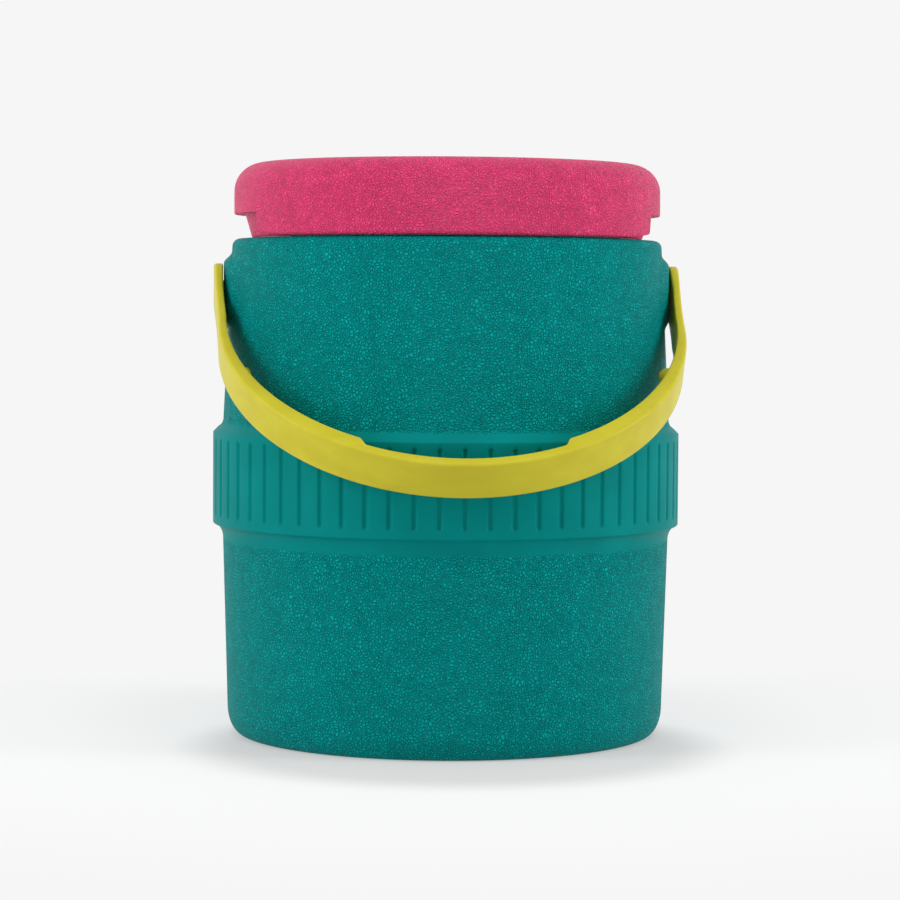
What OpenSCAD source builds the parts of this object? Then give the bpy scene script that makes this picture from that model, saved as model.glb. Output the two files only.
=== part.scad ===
// Round personal drinks cooler: a foam-filled two-wall body with a ribbed band, a lift-off
// lid and a bail that swings from front to back. Millimetres.
// The body's axis is Z, it stands on Z = 0, and the bail hangs at the front, which is -Y.

/* [Body] */
// Height of the body without its lid
body_h = 264.5; // [262:0.5:268]
// Outside radius at the rounded mouth
mouth_r = 115; // [114.8:0.1:116]
// Outside radius where the wall meets the band
waist_r = 119.6; // [119.4:0.1:120]
// Outside radius just above the rounded foot
foot_r = 117; // [116.5:0.1:117.5]
// Thickness of the outer shell
shell_wall = 3; // [2.6:0.1:3.2]

/* [Ribbed band] */
// Outside radius of the band
band_r = 125; // [124.5:0.1:125]
// Height of the band's lower edge above the floor
band_low = 112.7; // [110:0.1:114]
// Height of the band's upper edge above the floor
band_high = 162; // [158:0.1:164]
// Number of scooped grooves round the band
groove_count = 62; // [40:1:72]
// Radius of the cutter that scoops each groove
groove_r = 1.7; // [1.3:0.1:2]

/* [Liner] */
// Inside radius of the tub at its mouth
tub_r = 100; // [99.5:0.1:100.5]
// Inside radius of the tub at its floor
tub_floor_r = 98; // [97:0.1:99]
// Thickness of the tub
liner_wall = 2.2; // [1.8:0.1:2.4]

/* [Lid] */
// Outside radius of the lid
lid_r = 114; // [113.6:0.1:114.4]
// Height of the lid above its skirt's lower edge
lid_h = 40.7; // [38:0.1:42]
// Radius of the lid's shoulder
shoulder_r = 15; // [13:0.5:15.5]
// Half the width of each finger notch along its top
notch_top_half = 47.5; // [45:0.5:48]
// Half the width of each finger notch at the skirt's edge
notch_edge_half = 49.5; // [48.5:0.5:50]
// Height of each finger notch
notch_h = 12.2; // [11:0.1:12.5]

/* [Bail] */
// Height of the pivots above the floor
pivot_h = 237.3; // [236.8:0.1:238]
// Radius of the bail's outer arc
bail_r = 122.5; // [122.3:0.1:123]
// Distance from the pivots to the outside of the grip
bail_reach = 168.6; // [168.4:0.1:169.2]
// Width of the strap
strap_w = 21.3; // [20:0.1:21.5]
// Radius of the strap's round end at each pivot
eye_r = 14; // [12:0.5:14.5]
// Thickness of the strap at the grip
grip_t = 6.1; // [5:0.1:6.2]
// Angle of the resting bail from straight down
rest_angle = 55.9; // [55.8:0.1:57]
// Radius of each pivot peg
peg_r = 5; // [4.5:0.1:5.5]

/* [Hidden] */

teal = "#048078";
pink = "#D53769";
yellow = "#C8BC28";
white = "#ECECE6";
foam_colour = "#F2E6C0";

fine = 96;          // facets of a large round
small = 32;         // facets of a small round
joint_gap = 0.15;   // gap between mouldings that are pressed or foamed together
eps = 0.01;

// shell
base_t = 3.5;
foot_flat_r = foot_r - 8;
foot_h = 15;
base_recess = 2;
base_recess_r = 96;
under_h = 8;        // height of the hollow curve under the band
flare_h = 5.5;      // height of the slope above the band
flare_knee = 0.7;   // where that slope eases into the wall: share of its height, and step out
mouth_round = 4;
groove_low = band_low + 4.5;
groove_high = band_high - 3.2;
groove_axis_r = band_r + 0.45;

// liner and mouth
flange_r = 109.5;
flange_t = 2;
lip_t = 2.5;
lip_r = 105.5;
floor_z = 18;
tub_corner = 8;
bead_r = lip_r + 0.7;
bead_t = 1.6;
foam_top = body_h - flange_t - lip_t - bead_t - 1;

// fill plug
fill_r = 12;
plug_head_r = 17;
plug_stem_l = 9;

// lid
lid_low = body_h + 0.8;
lid_top = lid_low + lid_h;
lid_wall = 3;
lid_crown = 1.2;
skirt_round = 2;
notch_low_r = 104.5;
notch_high_r = 108;
notch_wall = 2.4;
notch_foot_half = 58;   // the low slot at each end of a notch
notch_foot_h = 1.7;
pan_low = body_h + 0.3;
pan_t = 2.2;
pan_r = lid_r - lid_wall - 0.3;
plug_r = tub_r - 1.6;
plug_depth = 14;
plug_taper = 1;     // how far the plug's wall leans in
plug_chamfer = 2;
seal_r = tub_r - 0.4;
seal_h = 2;

// pivots: each stands in a wide low swelling of the wall, turned about its own upright axis
swell_r = 80;
swell_x = 39.4;
swell_low = 214.5;
swell_full_low = 221;
swell_full_high = 250;
swell_high = 257.3;
swell_sink_low = 3.4;   // how far the swelling's ends go back into the wall
swell_sink_high = 4.8;
boss_face = swell_x + swell_r;
socket_out = 115;
bore_r = peg_r + 0.08;
bore_in = 114;
head_r = peg_r + 1.2;
head_play = 1;      // room round and behind each peg's head
pocket_r = head_r + head_play;
pocket_in = 107;
pocket_wall = 2;
pivot_socket_r = pocket_r + pocket_wall;
peg_root = 1;       // how far each peg runs into its arm

// bail, drawn in its own plane: X across, -Y along the arms from the pivots
arc_y = bail_reach - bail_r;
arm_slant = 3.6;
arm_in_x = 119.9;
arm_in_y = 22.5;      // where the inside of each arm starts to slope towards the arc
inner_arc_r = 118.3;
inner_arc_y = 39.5;
slope_y = 29.5;
slope_x = 118;
eye_taper = 30;       // length over which the strap narrows from its round end
grip_half = 52;
step_run = 6;
step_low_y = 149;     // where the chamfer at each end of the grip starts and ends
step_high_y = 141.5;
nub_y = 78.5;
nub_r = 4.5;
nub_tip_x = 105.5;
nub_l = 5.5;
peg_play = 0.4;       // end play of each peg's head in its pocket

// ---------- outlines ----------

// Points of an elliptical arc about c, from angle a0 to a1
function arc(c, rx, ry, a0, a1, n = 6) =
    [for (i = [0:n]) let (a = a0 + (a1 - a0) * i / n) [c[0] + rx * cos(a), c[1] + ry * sin(a)]];

// The side of the body, set in by t, from the foot up to the mouth
function side(t) = concat(
    [[foot_r - t, foot_h]],
    arc([band_r - t, band_low - under_h], band_r - waist_r, under_h, 180, 90),
    [[band_r - t, band_high], [waist_r + flare_knee - t, band_high + flare_h * flare_knee],
     [waist_r - t, band_high + flare_h]]);

// The tub, set out by t, from its floor up to height top
function tub(t, top) = concat(
    [[0, floor_z - t]],
    arc([tub_floor_r - tub_corner, floor_z + tub_corner], tub_corner + t, tub_corner + t, -90, 0),
    [[tub_r + t, top]]);

// The lid's outside, set in by t, from the skirt up to the crown
function lid_side(t) = concat(
    arc([lid_r - shoulder_r, lid_top - lid_crown - shoulder_r], shoulder_r - t, shoulder_r - t, 0, 90),
    [for (k = [3:-1:0]) [(lid_r - shoulder_r) * k / 4, lid_top - t - lid_crown * pow(k / 4, 2)]]);

// Space that the two finger notches clear in the lid's skirt, grown by t: the wall behind them
// slants inwards, their ends stand nearly upright and a low slot runs on from each at the edge
module notch(t) {
    drop = 5;
    reach = lid_r + drop;
    wall_slope = (notch_high_r - notch_low_r) / notch_h;
    end_slope = (notch_edge_half - notch_top_half) / notch_h;
    intersection() {
        rotate_extrude($fn = fine)
            polygon([[notch_low_r - t, lid_low - drop], [notch_low_r - t, lid_low],
                     [notch_high_r + t * wall_slope - t, lid_low + notch_h + t],
                     [reach, lid_low + notch_h + t], [reach, lid_low - drop]]);
        translate([-reach, 0, lid_low])
            rotate([90, 0, 90])
                linear_extrude(height = 2 * reach)
                    for (s = [0, 1])
                        mirror([s, 0])
                            polygon([[-eps, -drop], [notch_foot_half + t, -drop],
                                     [notch_foot_half + t, notch_foot_h + t],
                                     [notch_edge_half + t - end_slope * (notch_foot_h + t), notch_foot_h + t],
                                     [notch_top_half + t - end_slope * t, notch_h + t],
                                     [-eps, notch_h + t]]);
    }
}

// A round along X from x0 to x1 at the pivot's height, on both sides of the body
module pivot_round(r, x0, x1) {
    for (s = [0, 1])
        mirror([s, 0, 0])
            translate([x0, 0, pivot_h])
                rotate([0, 90, 0])
                    cylinder(r = r, h = x1 - x0, $fn = small);
}

// ---------- body ----------

// The swellings that carry the pivots, kept outside the middle of the wall, and the sockets
// behind them that close the pockets in
module pivot_bosses() {
    mid = shell_wall / 2;
    difference() {
        for (s = [0, 1])
            mirror([s, 0, 0])
                translate([swell_x, 0, 0])
                    rotate_extrude($fn = fine)
                        polygon([[0, swell_low], [swell_r - swell_sink_low, swell_low],
                                 [swell_r, swell_full_low], [swell_r, swell_full_high],
                                 [swell_r - swell_sink_high, swell_high], [0, swell_high]]);
        rotate_extrude($fn = fine)
            polygon([[0, band_high + flare_h], [waist_r - mid, band_high + flare_h],
                     [mouth_r - mid, body_h - mouth_round], [0, body_h - mouth_round]]);
    }
    pivot_round(pivot_socket_r, pocket_in - pocket_wall, socket_out);
}

module shell_wall_round() {
    rotate_extrude($fn = fine)
        polygon(concat(
            [[fill_r, base_recess], [base_recess_r, base_recess], [base_recess_r + 2, 0]],
            arc([foot_flat_r, foot_h], foot_r - foot_flat_r, foot_h, -90, 0),
            side(0),
            arc([mouth_r - mouth_round, body_h - mouth_round], mouth_round, mouth_round, 0, 90),
            [[flange_r + joint_gap, body_h], [flange_r + joint_gap, body_h - flange_t],
             [lip_r, body_h - flange_t], [lip_r, body_h - flange_t - lip_t],
             [mouth_r - shell_wall, body_h - flange_t - lip_t]],
            [for (i = [len(side(0)) - 1:-1:1]) side(shell_wall)[i]],
            arc([foot_flat_r, foot_h], foot_r - shell_wall - foot_flat_r, foot_h - base_recess - base_t, 0, -90),
            [[fill_r, base_recess + base_t]]));
}

module grooves() {
    for (k = [0:groove_count - 1])
        rotate([0, 0, -90 + k * 360 / groove_count])
            translate([groove_axis_r, 0, groove_low])
                cylinder(r = groove_r, h = groove_high - groove_low, $fn = small);
}

module outer_shell() {
    color(teal)
        difference() {
            union() {
                shell_wall_round();
                pivot_bosses();
            }
            grooves();
            pivot_round(bore_r, bore_in - eps, boss_face + 1);
            pivot_round(pocket_r, pocket_in, bore_in);
        }
}

module inner_liner() {
    lip_low = body_h - flange_t - lip_t;
    color(white)
        rotate_extrude($fn = fine)
            polygon(concat(
                tub(liner_wall, lip_low - bead_t - joint_gap),
                [[bead_r, lip_low - joint_gap - bead_t / 2], [bead_r, lip_low - joint_gap],
                 [lip_r - joint_gap, lip_low - joint_gap], [lip_r - joint_gap, body_h - flange_t],
                 [flange_r, body_h - flange_t], [flange_r, body_h]],
                [for (i = [len(tub(0, body_h)) - 1:-1:0]) tub(0, body_h)[i]]));
}

module body_foam() {
    out = shell_wall + joint_gap;
    bottom = base_recess + base_t + joint_gap;
    liner_out = tub(liner_wall + joint_gap, foam_top);
    color(foam_colour)
        difference() {
            rotate_extrude($fn = fine)
                polygon(concat(
                    [[0, bottom]],
                    arc([foot_flat_r, foot_h], foot_r - out - foot_flat_r, foot_h - bottom, -90, 0),
                    [for (i = [1:len(side(0)) - 1]) side(out)[i]],
                    [[mouth_r - out, foam_top]],
                    [for (i = [len(liner_out) - 1:-1:0]) liner_out[i]]));
            pivot_round(pivot_socket_r + joint_gap, pocket_in - pocket_wall - joint_gap, boss_face);
            translate([0, 0, bottom - 1])
                cylinder(r = fill_r + joint_gap, h = plug_stem_l - bottom + 1 + joint_gap, $fn = small);
        }
}

module foam_fill_plug() {
    color(teal)
        union() {
            cylinder(r = plug_head_r, h = base_recess - joint_gap, $fn = fine);
            cylinder(r = fill_r - joint_gap, h = plug_stem_l, $fn = fine);
        }
}

// ---------- lid ----------

module lid_cup() {
    rotate_extrude($fn = fine)
        polygon(concat(
            [[lid_r - lid_wall, lid_low]],
            arc([lid_r - skirt_round, lid_low + skirt_round], skirt_round, skirt_round, -90, 0, 3),
            lid_side(0),
            [for (i = [len(lid_side(0)) - 1:-1:0]) lid_side(lid_wall)[i]]));
}

module lid_shell() {
    color(pink)
        union() {
            difference() {
                lid_cup();
                notch(0);
            }
            intersection() {
                difference() {
                    notch(notch_wall);
                    notch(0);
                }
                translate([0, 0, lid_low])
                    cylinder(r = lid_r - lid_wall + eps, h = lid_h, $fn = fine);
            }
        }
}

module lid_pan() {
    pan_floor = pan_low - plug_depth;
    color(white)
        difference() {
            rotate_extrude($fn = fine)
                polygon([[0, pan_floor], [plug_r - plug_taper - plug_chamfer, pan_floor],
                         [plug_r - plug_taper, pan_floor + plug_chamfer],
                         [plug_r, pan_low - 3 * seal_h], [seal_r, pan_low - 2.5 * seal_h],
                         [seal_r, pan_low - 1.5 * seal_h], [plug_r, pan_low - seal_h],
                         [plug_r, pan_low], [pan_r, pan_low], [pan_r, pan_low + pan_t],
                         [plug_r - pan_t, pan_low + pan_t], [plug_r - pan_t - plug_taper, pan_floor + pan_t],
                         [0, pan_floor + pan_t]]);
            notch(notch_wall + joint_gap);
        }
}

module lid_foam() {
    low = pan_low + pan_t + joint_gap;
    inner = lid_wall + joint_gap;
    color(foam_colour)
        difference() {
            rotate_extrude($fn = fine)
                polygon(concat(
                    [[0, pan_low - plug_depth + pan_t + joint_gap],
                     [plug_r - pan_t - plug_taper - joint_gap, pan_low - plug_depth + pan_t + joint_gap],
                     [plug_r - pan_t - joint_gap, low], [pan_r, low]],
                    lid_side(inner)));
            notch(notch_wall + joint_gap);
        }
}

// ---------- bail ----------

// The strap seen square on, in the bail's own plane
module bail_outline() {
    arm_x = bail_r * cos(arm_slant);
    arm_y = -arc_y + bail_r * sin(arm_slant);
    end_x = arm_x + (eye_r - arm_y) * tan(arm_slant);
    difference() {
        union() {
            translate([0, -arc_y])
                circle(r = bail_r, $fn = fine);
            polygon([[-arm_x, arm_y], [arm_x, arm_y], [end_x, eye_r], [-end_x, eye_r]]);
        }
        translate([0, -inner_arc_y])
            circle(r = inner_arc_r, $fn = fine);
        polygon([[-inner_arc_r, -inner_arc_y], [inner_arc_r, -inner_arc_y],
                 [slope_x, -slope_y], [arm_in_x, -arm_in_y], [arm_in_x, strap_w],
                 [-arm_in_x, strap_w], [-arm_in_x, -arm_in_y], [-slope_x, -slope_y]]);
        intersection() {
            translate([0, -arc_y])
                circle(r = bail_r - grip_t, $fn = fine);
            polygon([[-grip_half, -bail_reach], [grip_half, -bail_reach],
                     [grip_half, -step_low_y], [grip_half + step_run, -step_high_y],
                     [-grip_half - step_run, -step_high_y], [-grip_half, -step_low_y]]);
        }
    }
}

module bail_strap() {
    half = strap_w / 2;
    intersection() {
        translate([0, 0, -eye_r])
            linear_extrude(height = 2 * eye_r)
                bail_outline();
        translate([-bail_reach, 0, 0])
            union() {
                rotate([0, 90, 0])
                    cylinder(r = eye_r, h = 2 * bail_reach, $fn = fine);
                rotate([90, 0, 90])
                    linear_extrude(height = 2 * bail_reach)
                        polygon([[0, eye_r], [-eye_taper, half], [-2 * bail_reach, half],
                                 [-2 * bail_reach, -half], [-eye_taper, -half], [0, -eye_r]]);
            }
    }
}

// One side's snap nub and pivot peg with its retaining head
module bail_fittings() {
    translate([nub_tip_x + nub_r, -nub_y, 0])
        union() {
            sphere(r = nub_r, $fn = small);
            rotate([0, 90, 0])
                cylinder(r = nub_r, h = nub_l, $fn = small);
        }
    rotate([0, 90, 0]) {
        translate([0, 0, bore_in - peg_play - eps])
            cylinder(r = peg_r, h = arm_in_x + peg_root - bore_in + peg_play, $fn = small);
        translate([0, 0, pocket_in + head_play])
            cylinder(r = head_r, h = bore_in - pocket_in - head_play - peg_play, $fn = small);
    }
}

module bail_handle() {
    color(yellow)
        translate([0, 0, pivot_h])
            rotate([90 - rest_angle, 0, 0])
                union() {
                    bail_strap();
                    bail_fittings();
                    mirror([1, 0, 0])
                        bail_fittings();
                }
}

outer_shell();
inner_liner();
body_foam();
foam_fill_plug();
lid_shell();
lid_pan();
lid_foam();
bail_handle();
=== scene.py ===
"""Round drinks cooler with a lift-off lid and a swinging bail.

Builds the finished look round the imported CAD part: the grained two-colour mouldings, the grooved
band, the bail, the white liner, and a plain studio to see them in. Sizes are in millimetres until
a mesh is made, which is in metres in the frame of the CAD part.
"""

import logging
import math
from dataclasses import dataclass, field
from enum import Enum

import bmesh
import bpy
import numpy as np
from mathutils import Matrix, Vector


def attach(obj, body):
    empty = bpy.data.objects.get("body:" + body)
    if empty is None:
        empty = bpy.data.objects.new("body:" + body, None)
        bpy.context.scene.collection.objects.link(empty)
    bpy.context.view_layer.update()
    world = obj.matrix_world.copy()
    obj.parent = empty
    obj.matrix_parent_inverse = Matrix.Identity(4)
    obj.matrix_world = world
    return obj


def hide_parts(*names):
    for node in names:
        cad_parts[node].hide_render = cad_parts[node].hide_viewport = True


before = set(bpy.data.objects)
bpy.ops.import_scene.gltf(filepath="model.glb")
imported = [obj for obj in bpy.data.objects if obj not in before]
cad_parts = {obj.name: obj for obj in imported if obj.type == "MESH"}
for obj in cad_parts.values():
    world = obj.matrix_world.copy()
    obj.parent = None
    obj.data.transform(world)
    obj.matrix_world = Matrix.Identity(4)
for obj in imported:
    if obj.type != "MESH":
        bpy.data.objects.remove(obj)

LOG = logging.getLogger("cooler")
MM = 0.001
Point = tuple[float, float]
Value = float | bpy.types.NodeSocket
Blank = tuple[bpy.types.Material, bpy.types.NodeTree, bpy.types.Node, bpy.types.NodeSocket]


class Body(Enum):
    """The bodies of the CAD part that the pieces ride on."""

    COOLER = "body"
    LID = "lid"
    BAIL = "bail"


class Slot(Enum):
    """The material slots of the record."""

    BODY = "body_plastic"
    LID = "lid_plastic"
    BAIL = "bail_plastic"
    LINER = "liner_plastic"
    FOAM = "foam"


# ---------- small tools ----------


def linear(hex_colour: str) -> tuple[float, float, float, float]:
    """Turns an sRGB hex colour to the linear values that shaders take.

    Args:
        hex_colour: six hex digits after a hash, as in "#04807A".

    Returns:
        Red, green, blue and an alpha of 1.
    """
    parts = [int(hex_colour[i:i + 2], 16) / 255 for i in (1, 3, 5)]
    low, high = 12.92, 1.055
    turned = [c / low if c <= 0.04045 else ((c + high - 1) / high) ** 2.4 for c in parts]
    return (*turned, 1.0)


def add(tree: bpy.types.NodeTree, kind: str, inputs: dict | None = None, **settings) -> bpy.types.Node:
    """Adds a node to a tree, with its settings, values and links.

    Args:
        tree: shader or geometry node tree.
        kind: the node's type name.
        inputs: socket name or number to a value, or to the output socket that feeds it.
        settings: properties of the node itself.

    Returns:
        The new node.
    """
    node = tree.nodes.new(kind)
    for name, value in settings.items():
        setattr(node, name, value)
    for key, value in (inputs or {}).items():
        if isinstance(value, bpy.types.NodeSocket):
            tree.links.new(value, node.inputs[key])
        else:
            node.inputs[key].default_value = value
    return node


def maths(tree: bpy.types.NodeTree, operation: str, *values: Value) -> bpy.types.NodeSocket:
    """Adds a maths node that works on the values in order, and returns its result."""
    return add(tree, "ShaderNodeMath", dict(enumerate(values)), operation=operation).outputs[0]


def ranged(tree: bpy.types.NodeTree, value: Value, start: Value = 0.0, end: Value = 1.0,
           low: Value = 0.0, high: Value = 1.0, curve: str = "LINEAR") -> bpy.types.NodeSocket:
    """Adds a node that maps the stretch from start to end on to low to high, and returns its result."""
    limits = {"From Min": start, "From Max": end, "To Min": low, "To Max": high}
    return add(tree, "ShaderNodeMapRange", {"Value": value, **limits}, interpolation_type=curve).outputs[0]


def feed(tree: bpy.types.NodeTree, shader: bpy.types.Node, links: dict[str, bpy.types.NodeSocket]) -> None:
    """Links output sockets to the named inputs of a shader."""
    for name, socket in links.items():
        tree.links.new(socket, shader.inputs[name])


def blank_finish(name: str) -> Blank:
    """Returns a new material, its tree, its principled shader and the object's own coordinates."""
    material = bpy.data.materials.new(name)
    material.use_nodes = True
    tree = material.node_tree
    return material, tree, tree.nodes["Principled BSDF"], add(tree, "ShaderNodeTexCoord").outputs["Object"]


def arc(centre: Point, rx: float, ry: float, start: float, end: float, steps: int) -> list[Point]:
    """Returns points of an elliptical arc, its angles in degrees."""
    return [(centre[0] + rx * math.cos(math.radians(a)), centre[1] + ry * math.sin(math.radians(a)))
            for a in np.linspace(start, end, steps + 1)]


def run(start: Point, end: Point, steps: int) -> list[Point]:
    """Returns the points of a straight run, without its first point."""
    return [tuple(p) for p in np.linspace(start, end, steps + 1)[1:]]


def turned(profile: list[Point], angles: np.ndarray) -> np.ndarray:
    """Turns an outline of (radius, height) points about Z.

    Args:
        profile: outline, anticlockwise round the solid.
        angles: places of the columns, in radians.

    Returns:
        A grid of points, one row for each point of the outline.
    """
    line = np.array(profile)
    grid = np.empty((len(line), len(angles), 3))
    grid[:, :, 0] = line[:, :1] * np.cos(angles)
    grid[:, :, 1] = line[:, :1] * np.sin(angles)
    grid[:, :, 2] = line[:, 1:]
    return grid


def whole_turn(columns: int) -> np.ndarray:
    """Returns evenly spaced angles round a full turn."""
    return np.arange(columns) * math.tau / columns


def turned_on_x(profile: list[Point], side: int, columns: int, y: float, z: float) -> np.ndarray:
    """Turns an outline of (radius, distance along X) points about a line along X.

    Args:
        profile: outline of the solid.
        side: 1 for the right end of the line, -1 for the left.
        columns: number of points round the turn.
        y: the line's place along Y.
        z: the line's place along Z.

    Returns:
        A grid of points, one row for each point of the outline.
    """
    grid = turned(profile, whole_turn(columns))
    return np.stack([side * grid[:, :, 2], y + grid[:, :, 0], z + grid[:, :, 1]], axis=-1)


def softstep(values: np.ndarray, low: float, high: float) -> np.ndarray:
    """Rises smoothly from 0 at low to 1 at high."""
    t = np.clip((values - low) / (high - low), 0, 1)
    return t * t * (3 - 2 * t)


@dataclass
class Moulding:
    """Gathers the closed shells of one piece, in millimetres, and makes its object."""

    name: str
    points: list[np.ndarray] = field(default_factory=list)
    faces: list[tuple[int, ...]] = field(default_factory=list)

    def shell(self, grid: np.ndarray, looped: bool = False, capped: bool = False) -> None:
        """Adds a closed shell whose columns run right round.

        Args:
            grid: points in rows and columns. A row whose points all meet is a pole.
            looped: joins the last row to the first.
            capped: fills the first and last rows, whose halves mirror each other.
        """
        rows, columns = grid.shape[:2]
        index = np.arange(rows * columns).reshape(rows, columns)
        low = index if looped else index[:-1]
        high = np.roll(index, -1, axis=0) if looped else index[1:]
        quads = np.stack([low, np.roll(low, -1, 1), np.roll(high, -1, 1), high], -1).reshape(-1, 4)
        if capped:
            half = np.arange(columns // 2)
            back = (columns - half) % columns
            for row, order in ((index[0], 1), (index[-1], -1)):
                cap = np.stack([row[half], row[back], row[(back - 1) % columns], row[half + 1]], -1)
                quads = np.concatenate([quads, cap[:, ::order]])
        flat = grid.reshape(-1, 3)
        a, b, c, d = (flat[quads[:, k]] for k in range(4))
        volume = np.einsum("ij,ij->i", a, np.cross(b, c) + np.cross(c, d)).sum()
        start = sum(len(p) for p in self.points)
        self.points.append(flat)
        for quad in (quads if volume > 0 else quads[:, ::-1]) + start:
            self.faces.append(tuple(dict.fromkeys(quad.tolist())))

    def piece(self, finish: bpy.types.Material, crease: float = 38) -> bpy.types.Object:
        """Makes the object.

        Args:
            finish: its material.
            crease: angle in degrees past which an edge is shaded sharp.

        Returns:
            The new object, with its place in its mesh.
        """
        mesh = bpy.data.meshes.new(self.name)
        kept = [f for f in self.faces if len(f) > 2]
        mesh.from_pydata((np.concatenate(self.points) * MM).tolist(), [], kept)
        work = bmesh.new()
        work.from_mesh(mesh)
        bmesh.ops.remove_doubles(work, verts=work.verts, dist=1e-6)
        bmesh.ops.dissolve_degenerate(work, edges=work.edges, dist=1e-7)
        work.to_mesh(mesh)
        work.free()
        mesh.materials.append(finish)
        mesh.shade_smooth()
        mesh.set_sharp_from_angle(angle=math.radians(crease))
        made = bpy.data.objects.new(self.name, mesh)
        bpy.context.scene.collection.objects.link(made)
        return made


def settle(piece: bpy.types.Object, body: Body, slot: Slot, *nodes: str) -> bpy.types.Object:
    """Attaches a piece to its body, hides the CAD nodes it stands for, and reports it.

    Args:
        piece: the finished object.
        body: the body it rides on.
        slot: its material slot in the record; not used.
        nodes: names of the CAD nodes that it replaces.

    Returns:
        The same object.
    """
    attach(piece, body.value)
    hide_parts(*nodes)
    LOG.info("%s: %d faces, rides on %s", piece.name, len(piece.data.polygons), body.value)
    return piece


# ---------- finishes ----------


@dataclass(frozen=True)
class GrainedPolyethylene:
    """High-density polyethylene out of a leather-grained mould.

    The eye sees a dull sheen broken by rounded pebbles about a millimetre and a half across, with
    fine creases between them that wander like the folds in hide. The crests are painted paler than
    the valleys: partly a painted highlight where they catch the light, partly wear where they are rubbed in
    use, and the valleys are painted darker as shade.
    """

    name: str
    # paler colour: painted highlight on the crests, with wear where they rub; darker colour: painted shade in
    # the valleys
    crest_highlight_and_wear: str
    valley_shade: str
    pebble_mm: float = 1.5
    fold_mm: float = 11.0
    crease_mm: float = 0.9
    depth_mm: float = 0.8
    plain_tone: float = 0.35
    roughness: float = 0.46
    specular: float = 0.2
    plain_from_mm: float = 0.0
    plain_to_mm: float = 0.0

    def make(self) -> bpy.types.Material:
        """Builds the material.

        Returns:
            The grained finish, left plain between the two heights where they differ.
        """
        material, tree, shader, place = blank_finish(self.name)
        fold = add(tree, "ShaderNodeTexNoise",
                   {"Vector": place, "Scale": 1 / (self.fold_mm * MM), "Detail": 2.0}).outputs["Color"]
        centred = add(tree, "ShaderNodeVectorMath", {0: fold, 1: (0.5, 0.5, 0.5)},
                      operation="SUBTRACT").outputs[0]
        pushed = add(tree, "ShaderNodeVectorMath", {0: centred, "Scale": 0.55 * self.fold_mm * MM},
                     operation="SCALE").outputs[0]
        warped = add(tree, "ShaderNodeVectorMath", {0: place, 1: pushed}, operation="ADD").outputs[0]
        edge = add(tree, "ShaderNodeTexVoronoi", {"Vector": warped, "Scale": 1 / (self.pebble_mm * MM)},
                   feature="DISTANCE_TO_EDGE").outputs["Distance"]
        pebble = ranged(tree, edge, 0.0, 0.3, curve="SMOOTHSTEP")
        crease = add(tree, "ShaderNodeTexNoise",
                     {"Vector": warped, "Scale": 1 / (self.crease_mm * MM), "Detail": 3.0,
                      "Roughness": 0.6}).outputs[0]
        grain = maths(tree, "MULTIPLY_ADD", crease, 0.75, pebble)
        height = add(tree, "ShaderNodeMix", {0: self.grained(tree, place), 2: self.plain_tone, 3: grain},
                     data_type="FLOAT").outputs[0]
        cloud = add(tree, "ShaderNodeTexNoise",
                    {"Vector": place, "Scale": 1 / (26 * MM), "Detail": 4.0}).outputs[0]
        # colour share: the grain height paints crests pale (highlight and wear) and valleys dark (shade); the
        # cloud adds a random tone
        paleness = maths(tree, "MULTIPLY_ADD", cloud, 0.4, height)
        share = ranged(tree, paleness, 0.2, 1.6)
        colour = add(tree, "ShaderNodeMix", {0: share, 6: linear(self.valley_shade), 7: linear(self.crest_highlight_and_wear)},
                     data_type="RGBA").outputs[2]
        gloss = ranged(tree, height, 0.0, 1.4, self.roughness - 0.06, self.roughness + 0.06)
        bump = add(tree, "ShaderNodeBump",
                   {"Height": height, "Strength": 1.0, "Distance": self.depth_mm * MM}).outputs[0]
        feed(tree, shader, {"Base Color": colour, "Roughness": gloss, "Normal": bump})
        shader.inputs["IOR"].default_value = 1.54
        shader.inputs["Specular IOR Level"].default_value = self.specular
        return material

    def grained(self, tree: bpy.types.NodeTree, place: bpy.types.NodeSocket) -> Value:
        """Returns how strong the grain is: 1, or a socket that drops to 0 on the plain stretch."""
        if self.plain_from_mm == self.plain_to_mm:
            return 1.0
        z = add(tree, "ShaderNodeSeparateXYZ", {0: place}).outputs["Z"]
        below = ranged(tree, z, (self.plain_from_mm - 1.5) * MM, (self.plain_from_mm + 1) * MM, 1.0, 0.0)
        above = ranged(tree, z, (self.plain_to_mm - 1) * MM, (self.plain_to_mm + 1.5) * MM)
        return maths(tree, "MAXIMUM", below, above)


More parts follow.
